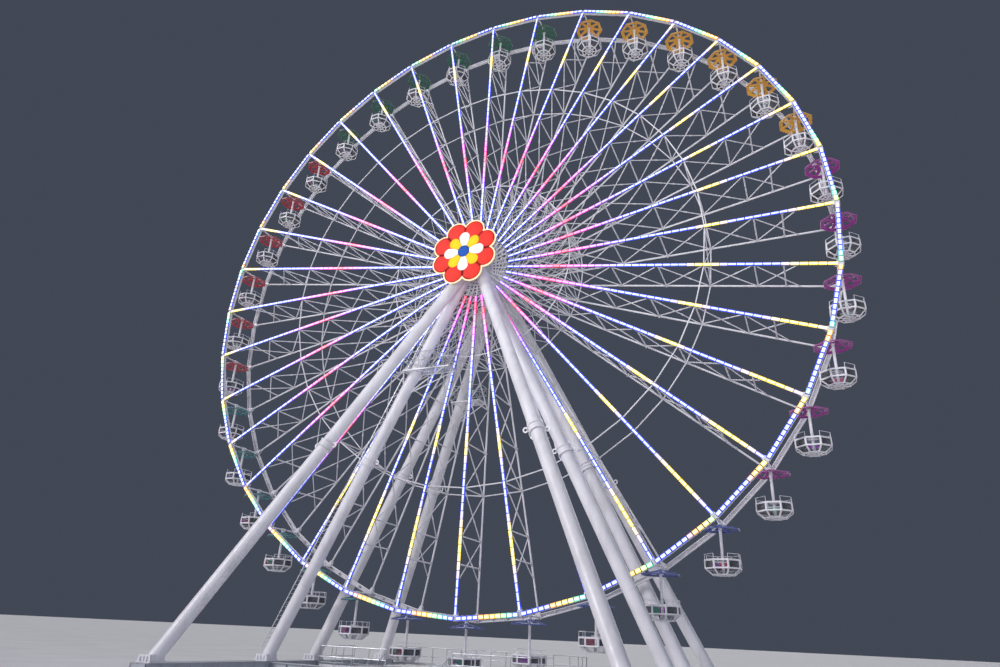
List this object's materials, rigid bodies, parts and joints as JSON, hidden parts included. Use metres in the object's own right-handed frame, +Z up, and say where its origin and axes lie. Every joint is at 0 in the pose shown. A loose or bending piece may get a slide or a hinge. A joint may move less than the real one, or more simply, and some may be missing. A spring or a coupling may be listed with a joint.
{
  "type": "ferris wheel, 1:2 scale model",
  "caption": "Giant fairground wheel at half size: twin lattice rims with level open tub gondolas, on splayed tube legs with a flower sign at the hub.",
  "frame": {"origin": "on the ground, at the centre of the base, under the axle", "axes": "+Z up, +Y along the axle towards the rear, +X to the right seen from the flower's side"},
  "size_m": [25.0162, 12.1, 25.775],
  "materials": {
    "white_steel": "satin white paint on steel tube, lightly dusty",
    "base_steel": "grey paint on box beams, scuffed at the edges",
    "deck_boards": "ribbed aluminium boards",
    "galvanised": "galvanised ladders, rails and bolts",
    "flower_red": "lit red acrylic petals",
    "flower_white": "lit white acrylic petals and outline tube",
    "flower_yellow": "lit yellow acrylic petals",
    "flower_blue": "lit blue acrylic centre",
    "tub_white": "satin white paint on the tub frames",
    "tub_window": "clear plastic windows",
    "seat_red": "moulded plastic seats",
    "seat_purple": "moulded plastic seats",
    "seat_green": "moulded plastic seats",
    "led_housing": "dark housings between the light modules",
    "led_light": "lit diffusers of the light modules",
    "canopy_red": "painted canopy with white rim",
    "canopy_green": "painted canopy with white rim",
    "canopy_orange": "painted canopy with white rim",
    "canopy_purple": "painted canopy with white rim",
    "canopy_blue": "painted canopy with white rim",
    "canopy_teal": "painted canopy with white rim"
  },
  "bodies": {
    "support": {"leg_front_left_inner": "white_steel", "leg_front_left_outer": "white_steel", "leg_front_right_inner": "white_steel", "leg_front_right_outer": "white_steel", "leg_rear_left_inner": "white_steel", "leg_rear_left_outer": "white_steel", "leg_rear_right_inner": "white_steel", "leg_rear_right_outer": "white_steel", "head_front": "white_steel", "head_rear": "white_steel", "axle": "white_steel", "flower_sign": "flower_red", "base_beam_left": "base_steel", "base_beam_right": "base_steel", "base_tie_front": "base_steel", "base_tie_rear": "base_steel", "deck_front": "deck_boards", "deck_rear": "deck_boards"},
    "wheel": {"wheel_front": "white_steel", "wheel_rear": "white_steel", "wheel_trusses": "white_steel", "hub_drum": "white_steel"},
    "gondola_01": {"gondola_01": "canopy_red"},
    "gondola_02": {"gondola_02": "canopy_red"},
    "gondola_03": {"gondola_03": "canopy_red"},
    "gondola_04": {"gondola_04": "canopy_red"},
    "gondola_05": {"gondola_05": "canopy_red"},
    "gondola_06": {"gondola_06": "canopy_red"},
    "gondola_07": {"gondola_07": "canopy_green"},
    "gondola_08": {"gondola_08": "canopy_green"},
    "gondola_09": {"gondola_09": "canopy_green"},
    "gondola_10": {"gondola_10": "canopy_green"},
    "gondola_11": {"gondola_11": "canopy_green"},
    "gondola_12": {"gondola_12": "canopy_green"},
    "gondola_13": {"gondola_13": "canopy_orange"},
    "gondola_14": {"gondola_14": "canopy_orange"},
    "gondola_15": {"gondola_15": "canopy_orange"},
    "gondola_16": {"gondola_16": "canopy_orange"},
    "gondola_17": {"gondola_17": "canopy_orange"},
    "gondola_18": {"gondola_18": "canopy_orange"},
    "gondola_19": {"gondola_19": "canopy_purple"},
    "gondola_20": {"gondola_20": "canopy_purple"},
    "gondola_21": {"gondola_21": "canopy_purple"},
    "gondola_22": {"gondola_22": "canopy_purple"},
    "gondola_23": {"gondola_23": "canopy_purple"},
    "gondola_24": {"gondola_24": "canopy_purple"},
    "gondola_25": {"gondola_25": "canopy_blue"},
    "gondola_26": {"gondola_26": "canopy_blue"},
    "gondola_27": {"gondola_27": "canopy_blue"},
    "gondola_28": {"gondola_28": "canopy_blue"},
    "gondola_29": {"gondola_29": "canopy_blue"},
    "gondola_30": {"gondola_30": "canopy_blue"},
    "gondola_31": {"gondola_31": "canopy_teal"},
    "gondola_32": {"gondola_32": "canopy_teal"},
    "gondola_33": {"gondola_33": "canopy_teal"},
    "gondola_34": {"gondola_34": "canopy_teal"},
    "gondola_35": {"gondola_35": "canopy_teal"},
    "gondola_36": {"gondola_36": "canopy_teal"}
  },
  "joints": [
    {"name": "wheel_spin", "type": "hinge", "parent": "support", "child": "wheel", "pos_m": [0, 0, 13.7], "axis": [0, 1, 0], "continuous": true},
    {"name": "gondola_01_hang", "type": "hinge", "parent": "wheel", "child": "gondola_01", "pos_m": [-11.81769, 0, 11.61622], "axis": [0, 1, 0], "continuous": true},
    {"name": "gondola_02_hang", "type": "hinge", "parent": "wheel", "child": "gondola_02", "pos_m": [-12, 0, 13.7], "axis": [0, 1, 0], "continuous": true},
    {"name": "gondola_03_hang", "type": "hinge", "parent": "wheel", "child": "gondola_03", "pos_m": [-11.81769, 0, 15.78378], "axis": [0, 1, 0], "continuous": true},
    {"name": "gondola_04_hang", "type": "hinge", "parent": "wheel", "child": "gondola_04", "pos_m": [-11.27631, 0, 17.80424], "axis": [0, 1, 0], "continuous": true},
    {"name": "gondola_05_hang", "type": "hinge", "parent": "wheel", "child": "gondola_05", "pos_m": [-10.39231, 0, 19.7], "axis": [0, 1, 0], "continuous": true},
    {"name": "gondola_06_hang", "type": "hinge", "parent": "wheel", "child": "gondola_06", "pos_m": [-9.19253, 0, 21.41345], "axis": [0, 1, 0], "continuous": true},
    {"name": "gondola_07_hang", "type": "hinge", "parent": "wheel", "child": "gondola_07", "pos_m": [-7.71345, 0, 22.89253], "axis": [0, 1, 0], "continuous": true},
    {"name": "gondola_08_hang", "type": "hinge", "parent": "wheel", "child": "gondola_08", "pos_m": [-6, 0, 24.0923], "axis": [0, 1, 0], "continuous": true},
    {"name": "gondola_09_hang", "type": "hinge", "parent": "wheel", "child": "gondola_09", "pos_m": [-4.10424, 0, 24.97631], "axis": [0, 1, 0], "continuous": true},
    {"name": "gondola_10_hang", "type": "hinge", "parent": "wheel", "child": "gondola_10", "pos_m": [-2.08378, 0, 25.51769], "axis": [0, 1, 0], "continuous": true},
    {"name": "gondola_11_hang", "type": "hinge", "parent": "wheel", "child": "gondola_11", "pos_m": [0, 0, 25.7], "axis": [0, 1, 0], "continuous": true},
    {"name": "gondola_12_hang", "type": "hinge", "parent": "wheel", "child": "gondola_12", "pos_m": [2.08378, 0, 25.51769], "axis": [0, 1, 0], "continuous": true},
    {"name": "gondola_13_hang", "type": "hinge", "parent": "wheel", "child": "gondola_13", "pos_m": [4.10424, 0, 24.97631], "axis": [0, 1, 0], "continuous": true},
    {"name": "gondola_14_hang", "type": "hinge", "parent": "wheel", "child": "gondola_14", "pos_m": [6, 0, 24.0923], "axis": [0, 1, 0], "continuous": true},
    {"name": "gondola_15_hang", "type": "hinge", "parent": "wheel", "child": "gondola_15", "pos_m": [7.71345, 0, 22.89253], "axis": [0, 1, 0], "continuous": true},
    {"name": "gondola_16_hang", "type": "hinge", "parent": "wheel", "child": "gondola_16", "pos_m": [9.19253, 0, 21.41345], "axis": [0, 1, 0], "continuous": true},
    {"name": "gondola_17_hang", "type": "hinge", "parent": "wheel", "child": "gondola_17", "pos_m": [10.39231, 0, 19.7], "axis": [0, 1, 0], "continuous": true},
    {"name": "gondola_18_hang", "type": "hinge", "parent": "wheel", "child": "gondola_18", "pos_m": [11.27631, 0, 17.80424], "axis": [0, 1, 0], "continuous": true},
    {"name": "gondola_19_hang", "type": "hinge", "parent": "wheel", "child": "gondola_19", "pos_m": [11.81769, 0, 15.78378], "axis": [0, 1, 0], "continuous": true},
    {"name": "gondola_20_hang", "type": "hinge", "parent": "wheel", "child": "gondola_20", "pos_m": [12, 0, 13.7], "axis": [0, 1, 0], "continuous": true},
    {"name": "gondola_21_hang", "type": "hinge", "parent": "wheel", "child": "gondola_21", "pos_m": [11.81769, 0, 11.61622], "axis": [0, 1, 0], "continuous": true},
    {"name": "gondola_22_hang", "type": "hinge", "parent": "wheel", "child": "gondola_22", "pos_m": [11.27631, 0, 9.59576], "axis": [0, 1, 0], "continuous": true},
    {"name": "gondola_23_hang", "type": "hinge", "parent": "wheel", "child": "gondola_23", "pos_m": [10.39231, 0, 7.7], "axis": [0, 1, 0], "continuous": true},
    {"name": "gondola_24_hang", "type": "hinge", "parent": "wheel", "child": "gondola_24", "pos_m": [9.19253, 0, 5.98655], "axis": [0, 1, 0], "continuous": true},
    {"name": "gondola_25_hang", "type": "hinge", "parent": "wheel", "child": "gondola_25", "pos_m": [7.71345, 0, 4.50747], "axis": [0, 1, 0], "continuous": true},
    {"name": "gondola_26_hang", "type": "hinge", "parent": "wheel", "child": "gondola_26", "pos_m": [6, 0, 3.30769], "axis": [0, 1, 0], "continuous": true},
    {"name": "gondola_27_hang", "type": "hinge", "parent": "wheel", "child": "gondola_27", "pos_m": [4.10424, 0, 2.42369], "axis": [0, 1, 0], "continuous": true},
    {"name": "gondola_28_hang", "type": "hinge", "parent": "wheel", "child": "gondola_28", "pos_m": [2.08378, 0, 1.88231], "axis": [0, 1, 0], "continuous": true},
    {"name": "gondola_29_hang", "type": "hinge", "parent": "wheel", "child": "gondola_29", "pos_m": [0, 0, 1.7], "axis": [0, 1, 0], "continuous": true},
    {"name": "gondola_30_hang", "type": "hinge", "parent": "wheel", "child": "gondola_30", "pos_m": [-2.08378, 0, 1.88231], "axis": [0, 1, 0], "continuous": true},
    {"name": "gondola_31_hang", "type": "hinge", "parent": "wheel", "child": "gondola_31", "pos_m": [-4.10424, 0, 2.42369], "axis": [0, 1, 0], "continuous": true},
    {"name": "gondola_32_hang", "type": "hinge", "parent": "wheel", "child": "gondola_32", "pos_m": [-6, 0, 3.30769], "axis": [0, 1, 0], "continuous": true},
    {"name": "gondola_33_hang", "type": "hinge", "parent": "wheel", "child": "gondola_33", "pos_m": [-7.71345, 0, 4.50747], "axis": [0, 1, 0], "continuous": true},
    {"name": "gondola_34_hang", "type": "hinge", "parent": "wheel", "child": "gondola_34", "pos_m": [-9.19253, 0, 5.98655], "axis": [0, 1, 0], "continuous": true},
    {"name": "gondola_35_hang", "type": "hinge", "parent": "wheel", "child": "gondola_35", "pos_m": [-10.39231, 0, 7.7], "axis": [0, 1, 0], "continuous": true},
    {"name": "gondola_36_hang", "type": "hinge", "parent": "wheel", "child": "gondola_36", "pos_m": [-11.27631, 0, 9.59576], "axis": [0, 1, 0], "continuous": true}
  ],
  "couplings": [
    {"joint": "gondola_01_hang", "follows": "wheel_spin", "ratio": -1},
    {"joint": "gondola_02_hang", "follows": "wheel_spin", "ratio": -1},
    {"joint": "gondola_03_hang", "follows": "wheel_spin", "ratio": -1},
    {"joint": "gondola_04_hang", "follows": "wheel_spin", "ratio": -1},
    {"joint": "gondola_05_hang", "follows": "wheel_spin", "ratio": -1},
    {"joint": "gondola_06_hang", "follows": "wheel_spin", "ratio": -1},
    {"joint": "gondola_07_hang", "follows": "wheel_spin", "ratio": -1},
    {"joint": "gondola_08_hang", "follows": "wheel_spin", "ratio": -1},
    {"joint": "gondola_09_hang", "follows": "wheel_spin", "ratio": -1},
    {"joint": "gondola_10_hang", "follows": "wheel_spin", "ratio": -1},
    {"joint": "gondola_11_hang", "follows": "wheel_spin", "ratio": -1},
    {"joint": "gondola_12_hang", "follows": "wheel_spin", "ratio": -1},
    {"joint": "gondola_13_hang", "follows": "wheel_spin", "ratio": -1},
    {"joint": "gondola_14_hang", "follows": "wheel_spin", "ratio": -1},
    {"joint": "gondola_15_hang", "follows": "wheel_spin", "ratio": -1},
    {"joint": "gondola_16_hang", "follows": "wheel_spin", "ratio": -1},
    {"joint": "gondola_17_hang", "follows": "wheel_spin", "ratio": -1},
    {"joint": "gondola_18_hang", "follows": "wheel_spin", "ratio": -1},
    {"joint": "gondola_19_hang", "follows": "wheel_spin", "ratio": -1},
    {"joint": "gondola_20_hang", "follows": "wheel_spin", "ratio": -1},
    {"joint": "gondola_21_hang", "follows": "wheel_spin", "ratio": -1},
    {"joint": "gondola_22_hang", "follows": "wheel_spin", "ratio": -1},
    {"joint": "gondola_23_hang", "follows": "wheel_spin", "ratio": -1},
    {"joint": "gondola_24_hang", "follows": "wheel_spin", "ratio": -1},
    {"joint": "gondola_25_hang", "follows": "wheel_spin", "ratio": -1},
    {"joint": "gondola_26_hang", "follows": "wheel_spin", "ratio": -1},
    {"joint": "gondola_27_hang", "follows": "wheel_spin", "ratio": -1},
    {"joint": "gondola_28_hang", "follows": "wheel_spin", "ratio": -1},
    {"joint": "gondola_29_hang", "follows": "wheel_spin", "ratio": -1},
    {"joint": "gondola_30_hang", "follows": "wheel_spin", "ratio": -1},
    {"joint": "gondola_31_hang", "follows": "wheel_spin", "ratio": -1},
    {"joint": "gondola_32_hang", "follows": "wheel_spin", "ratio": -1},
    {"joint": "gondola_33_hang", "follows": "wheel_spin", "ratio": -1},
    {"joint": "gondola_34_hang", "follows": "wheel_spin", "ratio": -1},
    {"joint": "gondola_35_hang", "follows": "wheel_spin", "ratio": -1},
    {"joint": "gondola_36_hang", "follows": "wheel_spin", "ratio": -1}
  ]
}
